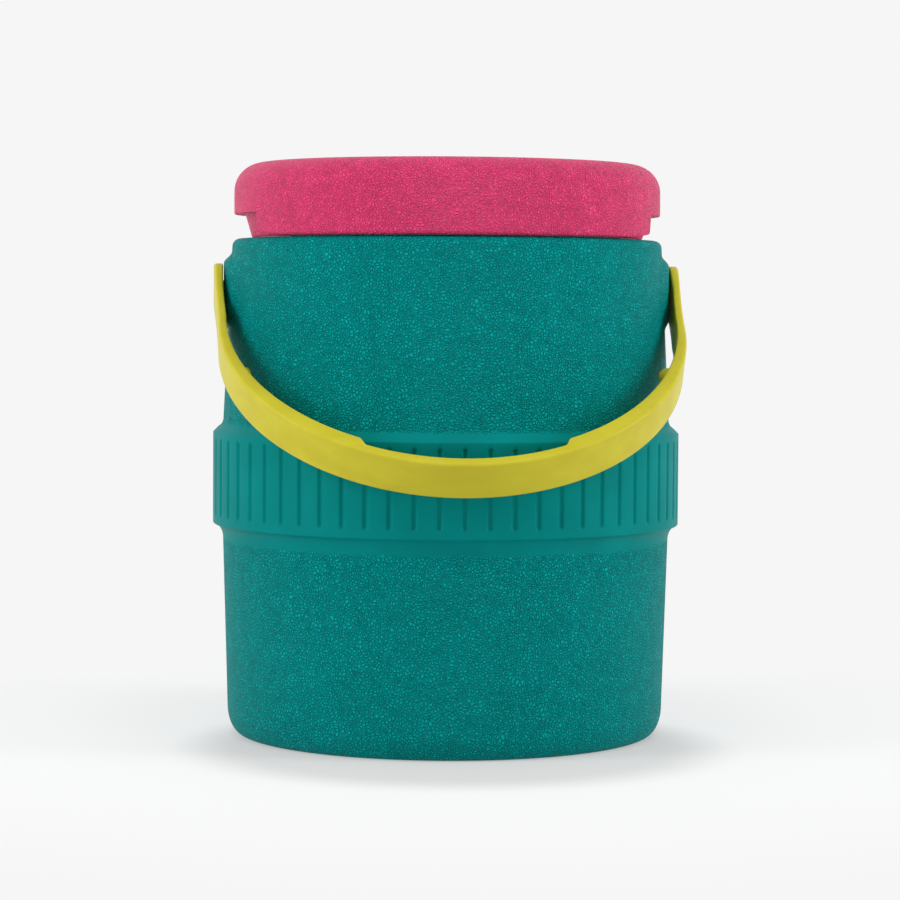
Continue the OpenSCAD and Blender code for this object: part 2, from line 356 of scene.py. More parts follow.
@dataclass(frozen=True)
class SatinPolyethylene:
    """Injection-moulded polyethylene from a fine-polished mould.

    The eye sees an even, waxy colour with a soft sheen, and on close view a faint ripple and
    slight cloudiness where the melt flowed.
    """

    name: str
    colour: str
    shade: str
    roughness: float = 0.38
    ripple_mm: float = 5.0
    ripple_depth_mm: float = 0.05
    translucency: float = 0.0
    specular: float = 0.5

    def make(self) -> bpy.types.Material:
        """Builds the material."""
        material, tree, shader, place = blank_finish(self.name)
        flow = add(tree, "ShaderNodeMapping", {"Vector": place, "Scale": (0.35, 1.0, 1.0)}).outputs[0]
        cloud = add(tree, "ShaderNodeTexNoise",
                    {"Vector": flow, "Scale": 1 / (12 * MM), "Detail": 4.0}).outputs[0]
        share = ranged(tree, cloud, 0.3, 0.7)
        colour = add(tree, "ShaderNodeMix", {0: share, 6: linear(self.shade), 7: linear(self.colour)},
                     data_type="RGBA").outputs[2]
        ripple = add(tree, "ShaderNodeTexNoise",
                     {"Vector": flow, "Scale": 1 / (self.ripple_mm * MM), "Detail": 2.0}).outputs[0]
        gloss = ranged(tree, ripple, 0.0, 1.0, self.roughness - 0.05, self.roughness + 0.05)
        bump = add(tree, "ShaderNodeBump", {"Height": ripple, "Strength": 1.0,
                                            "Distance": self.ripple_depth_mm * MM}).outputs[0]
        feed(tree, shader, {"Base Color": colour, "Roughness": gloss, "Normal": bump})
        shader.inputs["IOR"].default_value = 1.51
        shader.inputs["Specular IOR Level"].default_value = self.specular
        shader.inputs["Subsurface Weight"].default_value = self.translucency
        shader.inputs["Subsurface Radius"].default_value = (1.0, 0.8, 0.3)
        shader.inputs["Subsurface Scale"].default_value = 1.5 * MM
        return material


@dataclass(frozen=True)
class CellFoam:
    """Rigid polyurethane foam poured in place: a matt cream mass of closed cells under a thin skin."""

    name: str = "poured_polyurethane_foam"
    cell_mm: float = 1.2

    def make(self) -> bpy.types.Material:
        """Builds the material."""
        material, tree, shader, place = blank_finish(self.name)
        cell = add(tree, "ShaderNodeTexVoronoi",
                   {"Vector": place, "Scale": 1 / (self.cell_mm * MM)}).outputs["Distance"]
        colour = add(tree, "ShaderNodeMix", {0: cell, 6: linear("#F4EACB"), 7: linear("#DCCB98")},
                     data_type="RGBA").outputs[2]
        bump = add(tree, "ShaderNodeBump", {"Height": cell, "Distance": 0.3 * MM}).outputs[0]
        feed(tree, shader, {"Base Color": colour, "Normal": bump})
        shader.inputs["Roughness"].default_value = 0.9
        return material


@dataclass(frozen=True)
class StudioPaper:
    """White seamless paper, lit from behind so that it stays evenly pale right up to the cooler.

    The eye sees one flat near-white, with a painted contact shadow where the foot meets the paper:
    its glow is dimmed there, over the painted shadow distances, and is plain beyond the far distance.
    """

    name: str = "seamless_paper"
    glow: float = 0.57
    # glow inside the painted contact shadow round the foot
    painted_shadow_glow: float = 0.36
    far_glow: float = 0.922
    whiteness: str = "#A0A0A0"
    near_m: float = 0.16
    far_m: float = 0.5
    # where the painted contact shadow fades out, and how far its middle is set towards the front
    painted_shadow_from_m: float = 0.108
    painted_shadow_to_m: float = 0.155
    painted_shadow_ahead_m: float = 0.06

    def make(self) -> bpy.types.Material:
        """Builds the material."""
        material = bpy.data.materials.new(self.name)
        material.use_nodes = True
        tree = material.node_tree
        tree.nodes.clear()
        matt = add(tree, "ShaderNodeBsdfDiffuse", {"Color": linear(self.whiteness)}).outputs[0]
        place = add(tree, "ShaderNodeTexCoord").outputs["Object"]
        ahead = add(tree, "ShaderNodeVectorMath", {0: place, 1: (0.0, self.painted_shadow_ahead_m, 0.0)},
                    operation="ADD").outputs[0]
        spread = add(tree, "ShaderNodeVectorMath", {0: ahead}, operation="LENGTH").outputs["Value"]
        # painted contact shadow: the glow is dimmed in a soft ring round the foot, set a little towards the
        # front
        shade = ranged(tree, spread, self.painted_shadow_from_m, self.painted_shadow_to_m, self.painted_shadow_glow, self.glow,
                       "SMOOTHSTEP")
        lit = add(tree, "ShaderNodeEmission", {"Strength": shade}).outputs[0]
        both = add(tree, "ShaderNodeAddShader", {0: matt, 1: lit}).outputs[0]
        reach = add(tree, "ShaderNodeVectorMath", {0: place}, operation="LENGTH").outputs["Value"]
        away = ranged(tree, reach, self.near_m, self.far_m, curve="SMOOTHSTEP")
        flat = add(tree, "ShaderNodeEmission", {"Strength": self.far_glow}).outputs[0]
        paper = add(tree, "ShaderNodeMixShader", {0: away, 1: both, 2: flat}).outputs[0]
        add(tree, "ShaderNodeOutputMaterial", {"Surface": paper})
        return material


# ---------- body ----------


@dataclass
class Pivot:
    """The bail's two pivots, which the body's swellings and the bail's pegs share."""

    height: float = 237.3
    bore_r: float = 5.08
    bore_in: float = 114.0
    pocket_r: float = 7.2
    pocket_in: float = 107.0


@dataclass
class OuterShell:
    """The body's outer wall, with its grooved band, its rolled foot and the two pivot swellings."""

    pivot: Pivot
    height: float = 264.5
    mouth_r: float = 115.0
    mouth_round: float = 4.0
    waist_r: float = 119.6
    foot_r: float = 117.0
    foot_flat_r: float = 109.0
    foot_h: float = 15.0
    wall: float = 3.0
    base_recess: float = 2.0
    base_recess_r: float = 96.0
    base_t: float = 3.5
    fill_r: float = 12.0
    band_r: float = 125.0
    band_low: float = 112.7
    band_high: float = 162.0
    band_edge: float = 0.8
    under_h: float = 8.0
    flare_top: float = 167.9
    rebate_r: float = 109.65
    rebate_h: float = 2.0
    lip_r: float = 105.5
    lip_t: float = 2.5
    groove_count: int = 62
    groove_half: float = 1.75
    groove_depth: float = 1.25
    groove_low: float = 118.9
    groove_high: float = 157.1
    swell_r: float = 80.0
    swell_x: float = 39.4
    swell_low: float = 214.0
    swell_full: tuple[float, float] = (221.0, 252.0)
    swell_high: float = 259.5
    swell_half: float = 46.0
    swell_drop: float = 25.0
    swell_ease: float = 2.0
    swell_sink: float = 0.12
    boss_r: float = 9.2
    boss_out: float = 113.0

    def outside(self) -> list[Point]:
        """Returns the outline of the outer face, from the foot up to the mouth."""
        under = arc((self.band_r, self.band_low - self.under_h), self.band_r - self.waist_r,
                    self.under_h, 180, 98, 8)
        face = self.band_r
        ends = 2.6 + np.arange(10) * 0.65
        rows = [self.band_low + e for e in ends] + list(np.linspace(122, 152.4, 4))
        rows += [self.band_high - e for e in ends[::-1] + 0.2]
        edge = self.band_edge
        return [
            *arc((self.foot_flat_r, self.foot_h), self.foot_r - self.foot_flat_r, self.foot_h, -90, 0, 14),
            *run((self.foot_r, self.foot_h), (self.waist_r, self.band_low - self.under_h), 6)[:-1],
            *under,
            *arc((face - edge, self.band_low + edge * 1.05), edge, edge, -75, 0, 4),
            *[(face, z) for z in rows],
            *arc((face - edge, self.band_high - edge), edge, edge, 0, 48, 3),
            (122.6, 164.0), (121.0, 165.3), (120.35, 166.0), (120.0, 166.8), (self.waist_r, self.flare_top),
            *run((self.waist_r, self.flare_top), (self.mouth_r, self.height - self.mouth_round), 10)[:-1],
            *arc((self.mouth_r - self.mouth_round, self.height - self.mouth_round),
                 self.mouth_round, self.mouth_round, 0, 90, 9),
        ]

    def inside(self) -> list[Point]:
        """Returns the outline of the hidden face, from the mouth down to the fill hole."""
        rim = self.height - self.rebate_h
        inner = self.wall
        return [
            (self.rebate_r + 0.35, self.height), (self.rebate_r, self.height - 0.35),
            (self.rebate_r, rim), (self.lip_r, rim), (self.lip_r, rim - self.lip_t),
            (self.mouth_r - inner, rim - self.lip_t), (self.waist_r - inner, 167.5),
            (self.band_r - inner, self.band_high), (self.band_r - inner, self.band_low),
            (self.waist_r - inner, self.band_low - self.under_h),
            *arc((self.foot_flat_r, self.foot_h), self.foot_r - inner - self.foot_flat_r,
                 self.foot_h - self.base_recess - self.base_t, 0, -90, 5),
            (self.fill_r, self.base_recess + self.base_t), (self.fill_r, self.base_recess),
            *run((self.fill_r, self.base_recess), (self.base_recess_r - 1, self.base_recess), 3),
            (self.base_recess_r, self.base_recess - 0.3), (self.base_recess_r + 1.6, 0.25),
            (self.base_recess_r + 2.6, 0.0),
        ]

    def columns(self) -> np.ndarray:
        """Returns the angles of the columns, close together across each groove."""
        pitch = math.tau / self.groove_count
        steps = np.array([-2.15, -1.75, -1.4, -1.05, -0.6, 0, 0.6, 1.05, 1.4, 1.75, 2.15])
        steps = np.concatenate([steps, [4.9, 7.77]]) / self.band_r
        middle = -math.pi / 2 + np.arange(self.groove_count) * pitch
        return (middle[:, None] + steps[None, :]).ravel()

    def swelling(self, side: int) -> np.ndarray:
        """Lays out the wide, low swelling that carries one pivot.

        Its rings run out from the bore as ovals and sink into the wall at their rim.

        Args:
            side: 1 for the right pivot, -1 for the left.

        Returns:
            A grid of points.
        """
        pivot, start = self.pivot, self.pivot.bore_r + 0.5
        floor = pivot.pocket_in - 2
        back = [(0.0, floor), (self.boss_r, floor), (self.boss_r, self.boss_out)]
        rings = [(share, self.wall / 2) for share in (0.1, 0.3, 0.5, 0.7, 0.9, 1.0)]
        rings += [(share, self.swell_sink) for share in np.linspace(1, 0, 26)]
        bore = [(pivot.bore_r, self.swell_x + self.swell_r - 0.6), (pivot.bore_r, pivot.bore_in),
                (pivot.pocket_r, pivot.bore_in), (pivot.pocket_r, pivot.pocket_in), (0.0, pivot.pocket_in)]
        grid = turned_on_x(back + [(1.0, 0.0)] * len(rings) + bore, side, 96, 0.0, pivot.height)
        for row, (share, depth) in enumerate(rings, len(back)):
            across, up = grid[row, :, 1], grid[row, :, 2] - pivot.height
            room = np.where(up > 0, self.height - self.mouth_round - 0.7 - pivot.height, self.swell_drop)
            y = across * (start + (self.swell_half - start) * share)
            z = pivot.height + up * (start + (room - start) * share)
            wall = np.sqrt(self.wall_radius(z) ** 2 - y ** 2)
            over = self.swell_x + np.sqrt(self.swell_r ** 2 - y ** 2) - wall
            fade = 1 - softstep(z, self.swell_full[1], self.swell_high)
            fade *= softstep(z, self.swell_low, self.swell_full[0])
            fade *= 1 - softstep(np.array(share), 0.5, 1.0)
            lift = fade * (over + np.hypot(over, self.swell_ease)) / 2
            grid[row] = np.stack([side * (wall + lift - depth), y, z], axis=-1)
        return grid

    def wall_radius(self, z: np.ndarray) -> np.ndarray:
        """Returns the radius of the outer face above the band."""
        return np.interp(z, [self.flare_top, self.height - self.mouth_round], [self.waist_r, self.mouth_r])

    def groove_tree(self) -> bpy.types.NodeTree:
        """Builds the geometry nodes that scoop the grooves out of a smooth band.

        Returns:
            A tree with named inputs for the number of grooves and their sizes, in metres.
        """
        tree = bpy.data.node_groups.new("scooped_grooves", "GeometryNodeTree")
        face = tree.interface
        face.new_socket("Geometry", in_out="OUTPUT", socket_type="NodeSocketGeometry")
        face.new_socket("Geometry", in_out="INPUT", socket_type="NodeSocketGeometry")
        for name in ("Count", "Band radius", "Low", "High", "Half width", "Depth"):
            face.new_socket(name, in_out="INPUT", socket_type="NodeSocketFloat")
        face.new_socket("Finish", in_out="INPUT", socket_type="NodeSocketMaterial")
        given = add(tree, "NodeGroupInput").outputs
        place = add(tree, "GeometryNodeInputPosition").outputs[0]
        at = add(tree, "ShaderNodeSeparateXYZ", {0: place}).outputs
        turn = maths(tree, "ARCTAN2", at["Y"], at["X"])
        share = maths(tree, "MULTIPLY_ADD", turn, 1 / math.tau, 0.25)
        number = maths(tree, "MULTIPLY", share, given["Count"])
        whole = maths(tree, "ROUND", number)
        off = maths(tree, "SUBTRACT", number, whole)
        round_band = maths(tree, "MULTIPLY", given["Band radius"], math.tau)
        pitch = maths(tree, "DIVIDE", round_band, given["Count"])
        across = maths(tree, "MULTIPLY", off, pitch)
        kept = add(tree, "ShaderNodeClamp", {0: at["Z"], 1: given["Low"], 2: given["High"]}).outputs[0]
        past = maths(tree, "SUBTRACT", at["Z"], kept)
        away = add(tree, "ShaderNodeCombineXYZ", {0: across, 1: past}).outputs[0]
        gap = add(tree, "ShaderNodeVectorMath", {0: away}, operation="LENGTH").outputs["Value"]
        inner = maths(tree, "MULTIPLY", given["Half width"], 0.1)
        outer = maths(tree, "MULTIPLY", given["Half width"], 1.12)
        scoop = ranged(tree, gap, inner, outer, given["Depth"], 0.0, "SMOOTHSTEP")
        inward = maths(tree, "MULTIPLY", scoop, -1.0)
        level = add(tree, "ShaderNodeCombineXYZ", {0: at["X"], 1: at["Y"]}).outputs[0]
        reach = add(tree, "ShaderNodeVectorMath", {0: level}, operation="LENGTH").outputs["Value"]
        out = add(tree, "ShaderNodeVectorMath", {0: level}, operation="NORMALIZE").outputs[0]
        shift = add(tree, "ShaderNodeVectorMath", {0: out, "Scale": inward}, operation="SCALE").outputs[0]
        skin = maths(tree, "SUBTRACT", given["Band radius"], 0.3 * MM)
        on_band = maths(tree, "GREATER_THAN", reach, skin)
        moved = add(tree, "GeometryNodeSetPosition",
                    {"Geometry": given["Geometry"], "Selection": on_band, "Offset": shift}).outputs[0]
        real = add(tree, "GeometryNodeRealizeInstances", {0: moved}).outputs[0]
        dressed = add(tree, "GeometryNodeSetMaterial",
                      {"Geometry": real, "Material": given["Finish"]}).outputs[0]
        add(tree, "NodeGroupOutput", {0: dressed})
        return tree

    def grooved(self, blank: bpy.types.Object, finish: bpy.types.Material) -> bpy.types.Object:
        """Runs the groove tree on the smooth shell and keeps its result as a plain mesh.

        Args:
            blank: the shell with a smooth band.
            finish: material of the result.

        Returns:
            The same object with the grooved mesh.
        """
        tree = self.groove_tree()
        modifier = blank.modifiers.new("grooves", "NODES")
        modifier.node_group = tree
        sizes = {"Count": float(self.groove_count), "Band radius": self.band_r * MM,
                 "Low": self.groove_low * MM, "High": self.groove_high * MM,
                 "Half width": self.groove_half * MM, "Depth": self.groove_depth * MM, "Finish": finish}
        for item in tree.interface.items_tree:
            if item.in_out == "INPUT" and item.name in sizes:
                modifier[item.identifier] = sizes[item.name]
        made = bpy.data.meshes.new_from_object(blank.evaluated_get(bpy.context.evaluated_depsgraph_get()))
        blank.modifiers.remove(modifier)
        blank.data = made
        made.name = blank.name
        return blank

    def build(self, finish: bpy.types.Material) -> bpy.types.Object:
        """Builds and settles the shell."""
        shell = Moulding("outer_shell_moulding")
        shell.shell(turned(self.outside() + self.inside(), self.columns()), looped=True)
        for side in (-1, 1):
            shell.shell(self.swelling(side))
        return settle(self.grooved(shell.piece(finish), finish), Body.COOLER, Slot.BODY, "outer_shell")


@dataclass
class InnerLiner:
    """The white tub, whose flange lies in the mouth of the outer shell."""

    tub_r: float = 100.0
    floor_r: float = 98.0
    floor_z: float = 18.0
    corner: float = 8.0
    wall: float = 2.2
    top: float = 264.5
    flange_r: float = 109.5
    flange_t: float = 2.0
    lip_r: float = 105.35
    lip_t: float = 2.65
    bead_r: float = 106.2
    bead_t: float = 1.6

    def outline(self) -> list[Point]:
        """Returns the outline, from the underside of the floor round the rim and back inside."""
        catch = self.top - self.flange_t - self.lip_t
        centre = (self.floor_r - self.corner, self.floor_z + self.corner)
        mouth = self.tub_r + 1.0
        return [
            (0.0, self.floor_z - self.wall),
            *arc(centre, self.corner + self.wall, self.corner + self.wall, -90, 0, 8),
            (self.tub_r + self.wall, catch - self.bead_t), (self.bead_r, catch - self.bead_t / 2),
            (self.bead_r, catch), (self.lip_r, catch), (self.lip_r, self.top - self.flange_t),
            (self.flange_r, self.top - self.flange_t), (self.flange_r, self.top - 0.4),
            (self.flange_r - 0.4, self.top), *run((self.flange_r - 0.4, self.top), (mouth, self.top), 2),
            *arc((mouth, self.top - 1.0), 1.0, 1.0, 90, 180, 5)[1:],
            *run((self.tub_r, self.top - 1.0), (self.floor_r, centre[1]), 6),
            *arc(centre, self.corner, self.corner, 0, -90, 10)[1:],
            (71.2, self.floor_z), (70.6, self.floor_z + 0.15), (70.0, self.floor_z + 0.6),
            (67.5, self.floor_z + 0.6), (66.9, self.floor_z + 0.15), (66.3, self.floor_z),
            (6.0, self.floor_z), (5.2, self.floor_z - 0.4), (0.0, self.floor_z - 0.4),
        ]

    def build(self, finish: bpy.types.Material) -> bpy.types.Object:
        """Builds and settles the liner."""
        tub = Moulding("inner_liner_moulding")
        tub.shell(turned(self.outline(), whole_turn(300)))
        return settle(tub.piece(finish), Body.COOLER, Slot.LINER, "inner_liner")


@dataclass
class FillPlug:
    """The plug pressed into the base after the foam is poured."""

    head_r: float = 17.0
    head_t: float = 1.85
    stem_r: float = 11.85
    top: float = 9.0

    def build(self, finish: bpy.types.Material) -> bpy.types.Object:
        """Builds and settles the plug."""
        plug = Moulding("foam_fill_plug_moulding")
        plug.shell(turned([
            (0.0, 0.7), (6.0, 0.7), (6.8, 0.5), (7.4, 0.1), (8.0, 0.0), (self.head_r - 0.9, 0.0),
            *arc((self.head_r - 0.6, 0.6), 0.6, 0.6, -90, 0, 3), (self.head_r, self.head_t),
            (self.stem_r, self.head_t), (self.stem_r, self.top - 0.8),
            (self.stem_r - 0.8, self.top), (0.0, self.top)], whole_turn(120)))
        return settle(plug.piece(finish), Body.COOLER, Slot.BODY, "foam_fill_plug")


# ---------- lid ----------


@dataclass
class NotchedRound:
    """A round part with a finger notch cut into it at each side.

    Every row of its grid has one outline clear of the notches and one across them. The columns
    close up at the notch ends, which stand nearly upright on a low slot along the skirt's edge.
    """

    low: float = 265.3
    height: float = 12.2
    halves: tuple[Point, ...] = ((0.0, 60.0), (1.2, 57.5), (1.7, 53.5), (2.1, 50.6), (2.8, 49.4),
                                 (12.2, 47.5))
    plain_columns: int = 84
    notch_columns: int = 18

    def half(self, z: np.ndarray) -> np.ndarray:
        """Returns half the width of the notch at each height."""
        rise, half = np.array(self.halves).T
        return np.interp(z - self.low, rise, half)

    def grid(self, clear: np.ndarray, across: np.ndarray, grow: np.ndarray, reference: float) -> np.ndarray:
        """Lays the two outlines out round the part.

        Args:
            clear: (radius, height) of each row clear of the notches.
            across: the same rows across the notches.
            grow: how much wider the notch is in each row.
            reference: radius at which the columns are set where the two outlines are the same.

        Returns:
            A grid of points.
        """
        ends = [(0.5, 0.0), (0.12, 0.03), (0.0, 0.12), (0.0, 0.5), (0.0, 0.9), (-0.15, 0.97), (-0.6, 1.0)]
        same = np.all(np.isclose(clear, across), axis=1)
        columns = []
        for turn in (0, 1):
            for share in np.linspace(-1, 1, self.notch_columns + 2)[1:-1]:
                columns.append((turn, "across", share, 1.0))
            for out, mix in ends[::-1]:
                columns.append((turn, "end", out, mix))
            for share in np.linspace(0, 1, self.plain_columns + 2)[1:-1]:
                columns.append((turn, "clear", share, 0.0))
            for out, mix in ends:
                columns.append((1 - turn, "start", out, mix))
        grid = np.empty((len(clear), len(columns), 3))
        for k, (turn, kind, value, mix) in enumerate(columns):
            r = clear[:, 0] + (across[:, 0] - clear[:, 0]) * mix
            z = clear[:, 1] + (across[:, 1] - clear[:, 1]) * mix
            half = self.half(z) + grow
            around = np.where(same, reference, r)
            first = np.arcsin(np.clip(half / around, -1, 1))
            if kind == "across":
                angle = np.arcsin(np.clip((half - 0.6) * value / around, -1, 1))
            elif kind == "clear":
                first = np.arcsin(np.clip((half + 0.5) / around, -1, 1))
                angle = first + (math.pi - 2 * first) * value
            else:
                angle = np.arcsin(np.clip((half + value) / around, -1, 1))
                angle = -angle if kind == "start" else angle
            angle = angle + math.pi * turn
            grid[:, k] = np.stack([r * np.cos(angle), r * np.sin(angle), z], axis=-1)
        return grid


@dataclass
class LidShell:
    """The lid's grained outer shell, with a shallow crown, a rounded shoulder and two finger notches."""

    notch: NotchedRound
    radius: float = 114.0
    low: float = 265.3
    top: float = 306.0
    wall: float = 3.0
    shoulder_r: float = 15.0
    crown: float = 1.2
    skirt_round: float = 2.0
    notch_low_r: float = 104.5
    notch_high_r: float = 108.0
    notch_wall: float = 2.4

    def crown_rows(self, drop: float) -> list[Point]:
        """Returns the crowned top, from its edge to its middle, lowered by drop."""
        flat = self.radius - self.shoulder_r
        return [(flat * k, self.top - drop - self.crown * k * k) for k in (0.86, 0.7, 0.5, 0.3, 0.12, 0.0)]

    def outlines(self) -> tuple[np.ndarray, np.ndarray, np.ndarray]:
        """Returns the rows clear of the notches, across them, and how much wider they run."""
        side, inside = self.radius, self.radius - self.wall
        centre = (side - self.shoulder_r, self.top - self.crown - self.shoulder_r)
        ledge = self.low + self.notch.height
        slope = (self.notch_high_r - self.notch_low_r) / self.notch.height
        knee = 4.1
        inner = [*self.crown_rows(self.wall)[::-1],
                 *arc(centre, self.shoulder_r - self.wall, self.shoulder_r - self.wall, 90, 0, 8),
                 (inside, ledge + 4)]
        hidden = [(inside, ledge + 3.2, inside, ledge + self.notch_wall + 0.4),
                  (inside, ledge + 2.4, inside - 1, ledge + self.notch_wall),
                  (inside, ledge + 1.2, self.notch_high_r - self.notch_wall + 0.6, ledge + self.notch_wall),
                  (inside, ledge, self.notch_high_r - self.notch_wall, ledge),
                  (inside, self.low + knee, self.notch_low_r + knee * slope - self.notch_wall,
                   self.low + knee),
                  (inside, self.low, self.notch_low_r - self.notch_wall, self.low)]
        shown = []
        for r, z in arc((side - self.skirt_round, self.low + self.skirt_round),
                        self.skirt_round, self.skirt_round, -90, 0, 8):
            edge = 0.5 * max(0.0, 1 - (z - self.low) / 0.5) ** 2
            shown.append((r, z, self.notch_low_r + slope * (z - self.low) - edge, z))
        for z in (self.low + 2.4, self.low + 2.8, self.low + 4.5, self.low + 7.5, ledge - 1.6):
            shown.append((side, z, self.notch_low_r + slope * (z - self.low), z))
        for r, z in arc((self.notch_high_r + 0.7, ledge - 0.9), 0.9, 0.9, 165, 90, 4):
            shown.append((side, z, r, z))
        shown += [(side, ledge + 0.02, 111.0, ledge), (side, ledge + 0.05, side - 0.9, ledge)]
        for r, z in arc((side - 0.7, ledge + 0.7), 0.7, 0.7, -70, 0, 4):
            shown.append((side, z, r, z))
        outer = [*run((side, ledge + 0.7), (side, centre[1]), 5),
                 *arc(centre, self.shoulder_r, self.shoulder_r, 0, 90, 16)[1:], *self.crown_rows(0)]
        rows = [(*p, *p) for p in inner] + hidden + shown + [(*p, *p) for p in outer]
        table = np.array(rows)
        grow = np.zeros(len(rows))
        grow[len(inner):len(inner) + len(hidden)] = self.notch_wall
        return table[:, :2], table[:, 2:], grow

    def build(self, finish: bpy.types.Material) -> bpy.types.Object:
        """Builds and settles the lid's shell."""
        lid = Moulding("lid_shell_moulding")
        lid.shell(self.notch.grid(*self.outlines(), self.radius))
        return settle(lid.piece(finish), Body.LID, Slot.LID, "lid_shell")


@dataclass
class LidPan:
    """The lid's white underside, with the plug that drops into the tub and its seal rib."""

    notch: NotchedRound
    low: float = 264.8
    thickness: float = 2.2
    radius: float = 110.7
    plug_r: float = 98.4
    plug_depth: float = 14.0
    seal_r: float = 99.6
    seat_r: float = 105.8
    notch_r: float = 101.9
    notch_gap: float = 2.55

    def build(self, finish: bpy.types.Material) -> bpy.types.Object:
        """Builds and settles the pan."""
        floor = self.low - self.plug_depth
        plug, top = self.plug_r, self.low + self.thickness
        rows = [(0.0, floor + 0.6), (60.0, floor + 0.6), (61.0, floor + 0.4), (62.0, floor),
                (plug - 3.4, floor), *arc((plug - 3, floor + 2), 2, 2, -90, -20, 4), (plug - 0.5, floor + 5),
                (plug, self.low - 6), (self.seal_r - 0.2, self.low - 5.2), (self.seal_r, self.low - 4.4),
                (self.seal_r, self.low - 3.6), (self.seal_r - 0.2, self.low - 2.8), (plug, self.low - 2),
                (plug, self.low - 0.8), (plug + 0.3, self.low - 0.2), (plug + 1, self.low)]
        clear = [*rows, (self.seat_r, self.low), (self.radius, self.low + 1.6), (self.radius, top)]
        across = [*rows, (self.notch_r - 0.4, self.low), (self.notch_r, self.low + 0.4), (self.notch_r, top)]
        back = [(plug - self.thickness, top), (plug - self.thickness - 1, floor + self.thickness),
                (0.0, floor + self.thickness)]
        grow = np.full(len(clear) + len(back), self.notch_gap)
        pan = Moulding("lid_pan_moulding")
        pan.shell(self.notch.grid(np.array(clear + back), np.array(across + back), grow, self.radius))
        return settle(pan.piece(finish), Body.LID, Slot.LINER, "lid_pan")


# ---------- bail ----------


@dataclass
class Bail:
    """The swinging bail: a flat strap bent to an arc, with a thinner grip, snap nubs and pivot pegs.

    Its own plane has X across and L down the arms from the pivots, and w runs across the strap.
    """

    pivot: Pivot
    outer_r: float = 122.5
    reach: float = 168.6
    half_w: float = 10.65
    grip_t: float = 6.1
    eye_r: float = 14.0
    eye_taper: float = 30.0
    end_round: float = 2.6
    grip_half: float = 52.0
    flare: float = 2.17
    flare_bend: float = 1.25
    inner_r: float = 118.3
    inner_l: float = 39.5
    arm_end: float = 44.0
    arm_in: float = 119.9
    arm_in_l: float = 14.0
    rest: float = 55.9
    edge: float = 1.5
    back_edge: float = 0.9
    nub_l: float = 78.5
    nub_r: float = 4.5
    nub_tip: float = 105.5
    peg_r: float = 5.0
    head_r: float = 6.2

    @property
    def arc_l(self) -> float:
        """Distance from the pivots to the centre of the outer arc."""
        return self.reach - self.outer_r

    def arm_out(self, l: np.ndarray | float) -> np.ndarray | float:
        """Returns the outside of an arm at a distance from the pivots."""
        return self.outer_r + self.flare * ((self.arc_l - l) / self.arc_l) ** self.flare_bend

    def arm_inside(self, l: float) -> float:
        """Returns the inside of an arm at a distance from the pivots."""
        return float(np.interp(l, [self.arm_in_l, self.inner_l], [self.arm_in, self.inner_r]))

    def widening(self, l: float) -> float:
        """Returns how many times wider the strap is towards its round ends than along the grip."""
        share = float(softstep(np.array(max(l, 0.0)), 0.0, self.eye_taper))
        return 1 + (self.eye_r / self.half_w - 1) * (1 - share)

    def inner_reach(self, angle: float) -> float:
        """Returns how far the inside is from the centre of the outer arc, at an angle from X."""
        drop = self.arc_l - self.inner_l
        arm = -drop * math.sin(angle) + math.sqrt(self.inner_r ** 2 - (drop * math.cos(angle)) ** 2)
        across = self.outer_r * abs(math.cos(angle))
        share = float(softstep(np.array(across), self.grip_half - 0.3, self.grip_half + 5.7))
        return arm * share + (self.outer_r - self.grip_t) * (1 - share)

    def stations(self) -> list[tuple[float, float, float, float]]:
        """Returns the outside and inside points along the right half, from the pivot to the grip."""
        found = []
        for l in np.linspace(0, self.arm_end, 20):
            found.append((self.arm_out(l), l, self.arm_inside(l), l))
        step = math.acos(self.grip_half / self.outer_r)
        turns = np.concatenate([np.linspace(math.radians(0.6), step - 0.085, 44),
                                np.linspace(step - 0.078, step + 0.02, 18),
                                np.linspace(step + 0.035, math.pi / 2, 24)])
        for turn in turns:
            inner = self.inner_reach(turn)
            found.append((self.outer_r * math.cos(turn), self.arc_l + self.outer_r * math.sin(turn),
                          inner * math.cos(turn), self.arc_l + inner * math.sin(turn)))
        return found

    def strap(self) -> np.ndarray:
        """Returns the strap as nested loops, from the middle of the outside round to the inside."""
        half = self.stations()
        whole = [(-a, b, -c, d) for a, b, c, d in half] + half[-2::-1]
        fan = np.linspace(90, 0, 13)[:-1]
        rings = [(r, 0.0, 0) for r in (3.0, 6.0, 8.6)]
        rings += [(self.half_w - self.edge * (1 - math.sin(a)), self.edge * (1 - math.cos(a)), 0)
                  for a in np.radians((0, 18, 36, 54, 72, 90))]
        rings += [(self.half_w - self.back_edge * (1 - math.sin(a)), self.back_edge * (1 - math.cos(a)), 1)
                  for a in np.radians((90, 67, 45, 22, 0))]
        rings += [(r, 0.0, 1) for r in (8.6, 6.0, 3.0)]
        loops = []
        for reach, depth, back in rings:
            top = []
            for side, angles in ((-1, fan), (0, None), (1, fan[::-1])):
                if side == 0:
                    for a, b, c, d in whole:
                        gap = math.hypot(c - a, d - b)
                        share = (gap - depth) / gap if back else depth / gap
                        top.append((a + (c - a) * share, b + (d - b) * share, reach * self.widening(b)))
                    continue
                for angle in np.radians(angles):
                    wide = reach * self.widening(0.0)
                    l = -wide * math.sin(angle)
                    crown = self.end_round * max(0.0, (-l - 4) / (self.eye_r - 4)) ** 2
                    x = self.arm_inside(l) + depth if back else self.arm_out(l) - depth - crown
                    top.append((side * x, l, wide * math.cos(angle)))
            bottom = [(x, l, -w) for x, l, w in top[-2:0:-1]]
            loops.append(top + bottom)
        return np.array(loops)

    def placed(self, grid: np.ndarray) -> np.ndarray:
        """Turns points of the bail's own plane to where the resting bail hangs."""
        rest = math.radians(self.rest)
        x, l, w = grid[..., 0], grid[..., 1], grid[..., 2]
        return np.stack([x, -l * math.sin(rest) - w * math.cos(rest),
                         self.pivot.height - l * math.cos(rest) + w * math.sin(rest)], axis=-1)

